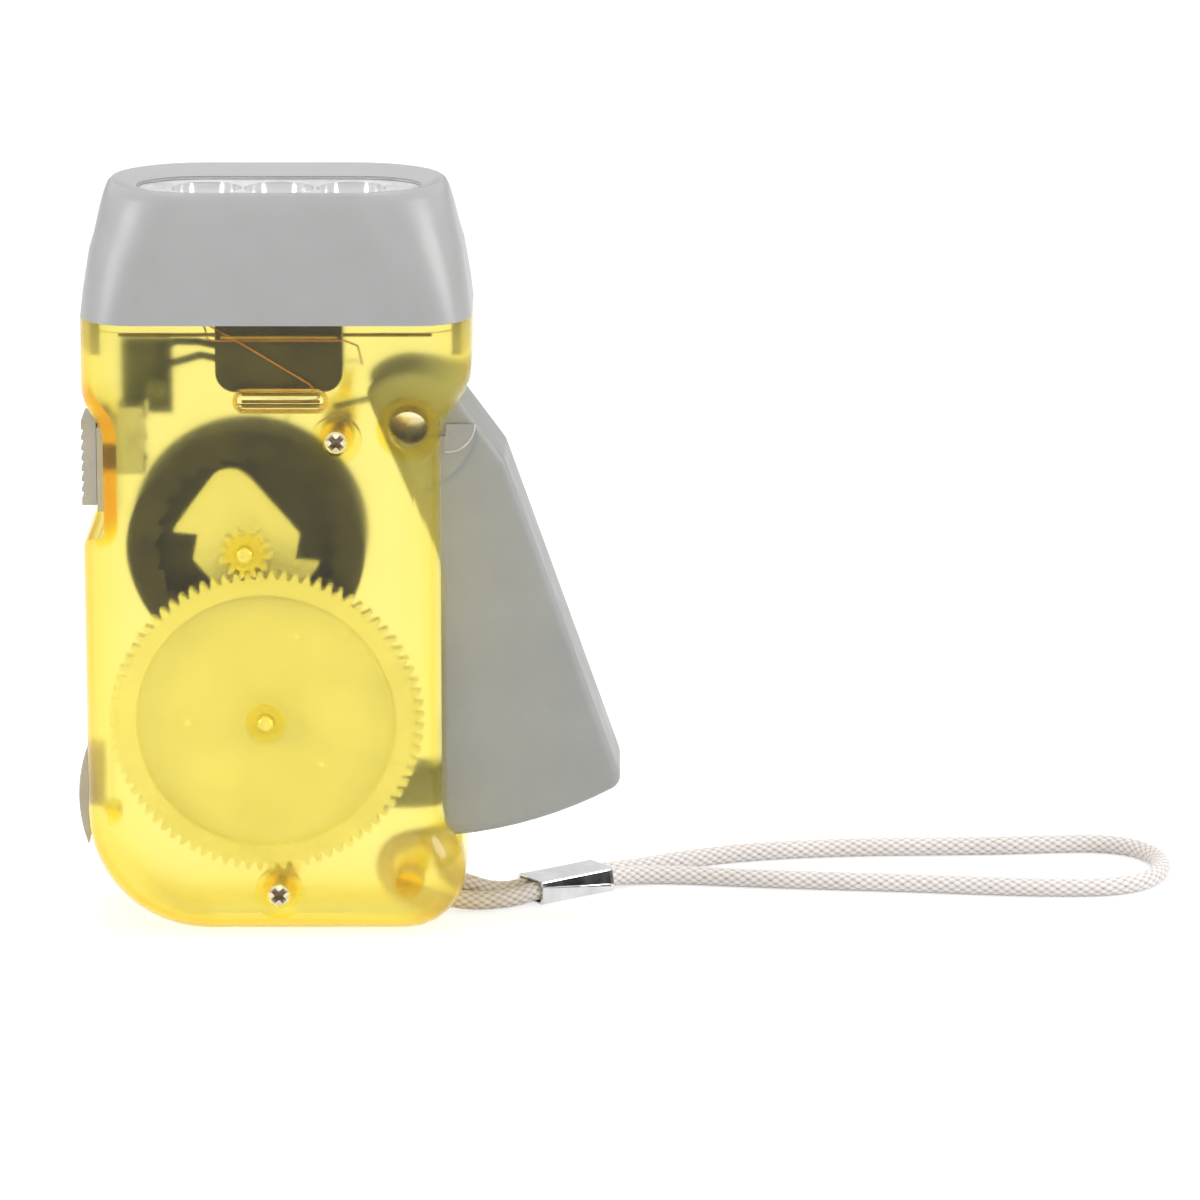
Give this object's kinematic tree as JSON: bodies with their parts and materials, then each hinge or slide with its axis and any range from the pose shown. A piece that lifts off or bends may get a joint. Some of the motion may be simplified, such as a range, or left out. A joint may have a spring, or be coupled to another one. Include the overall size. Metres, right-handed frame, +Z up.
{
  "type": "hand press dynamo flashlight",
  "caption": "Hand-press dynamo flashlight: translucent case with gear train, squeeze lever, lamp head, slide switch, lock button and corded wrist strap.",
  "frame": {"origin": "middle of the flat base that the flashlight stands on, on the joint between the two case shells", "axes": "+X towards the squeeze lever, +Y towards the back, +Z up towards the lamps"},
  "size_m": [0.1478, 0.0443, 0.1],
  "materials": {
    "case_yellow": "translucent, smooth outside and finely frosted inside",
    "head_grey": "fine satin, moulded",
    "lever_grey": "fine satin, moulded",
    "lens_clear": "clear, polished",
    "reflector_silver": "vacuum metallised mirror",
    "led_clear": "clear epoxy, polished",
    "board_green": "solder mask over fibre board",
    "cell_film": "shrink film",
    "knob_grey": "satin, moulded",
    "nylon": "natural, satin",
    "steel": "bright, turned or pressed",
    "spring_steel": "drawn wire",
    "flywheel_iron": "dark, turned",
    "magnet_black": "sintered, dull",
    "bobbin_white": "satin",
    "copper": "enamelled copper",
    "wire_black": "soft sleeve",
    "cord_fabric": "braided",
    "crimp_chrome": "bright plated sheet"
  },
  "bodies": {
    "root": {"front_shell": "case_yellow", "rear_shell": "case_yellow", "head_cover": "head_grey", "lens": "lens_clear", "reflector": "reflector_silver", "led_1": "led_clear", "led_2": "led_clear", "led_3": "led_clear", "led_board": "board_green", "battery_pack": "cell_film", "switch_body": "steel", "switch_board": "board_green", "switch_plate": "knob_grey", "lever_spring": "spring_steel", "gear_axle": "steel", "flywheel_axle": "steel", "stator_front": "steel", "stator_rear": "steel", "coil_bobbin": "bobbin_white", "coil_winding": "copper", "coil_leads": "copper", "battery_leads": "wire_black", "case_screws": "steel", "strap_loop": "cord_fabric", "strap_cord": "cord_fabric", "strap_crimp": "crimp_chrome"},
    "lever": {"lever": "lever_grey"},
    "drive_gear": {"drive_gear": "nylon"},
    "pinion": {"pinion_pawl": "nylon"},
    "flywheel": {"flywheel": "flywheel_iron", "magnet_ring": "magnet_black"},
    "switch_knob": {"switch_knob": "knob_grey"},
    "lock_button": {"lock_button": "knob_grey"}
  },
  "joints": [
    {"name": "lever_swing", "type": "hinge", "parent": "root", "child": "lever", "pos_m": [0.0171, 0, 0.0687], "axis": [0, 1, 0], "range_deg": [0, 20], "stiffness_Nm_per_rad": 0.2, "springref_deg": -22.92, "deforming": ["lever_spring"]},
    {"name": "gear_turn", "type": "hinge", "parent": "root", "child": "drive_gear", "pos_m": [-0.00198, 0, 0.02905], "axis": [0, 1, 0], "range_deg": [0, 240]},
    {"name": "pinion_turn", "type": "hinge", "parent": "root", "child": "pinion", "pos_m": [-0.00447, 0, 0.05192], "axis": [0, 1, 0], "range_deg": [-1600, 0]},
    {"name": "flywheel_run", "type": "hinge", "parent": "pinion", "child": "flywheel", "pos_m": [-0.00447, 0, 0.05192], "axis": [0, 1, 0], "continuous": true},
    {"name": "switch_slide", "type": "slide", "parent": "root", "child": "switch_knob", "axis": [0, 0, 1], "range_m": [0, 0.0017]},
    {"name": "lock_slide", "type": "slide", "parent": "root", "child": "lock_button", "axis": [0, 0, 1], "range_m": [0, 0.003]}
  ],
  "couplings": [
    {"joint": "gear_turn", "follows": "lever_swing", "ratio": 12},
    {"joint": "pinion_turn", "follows": "lever_swing", "ratio": -80}
  ]
}
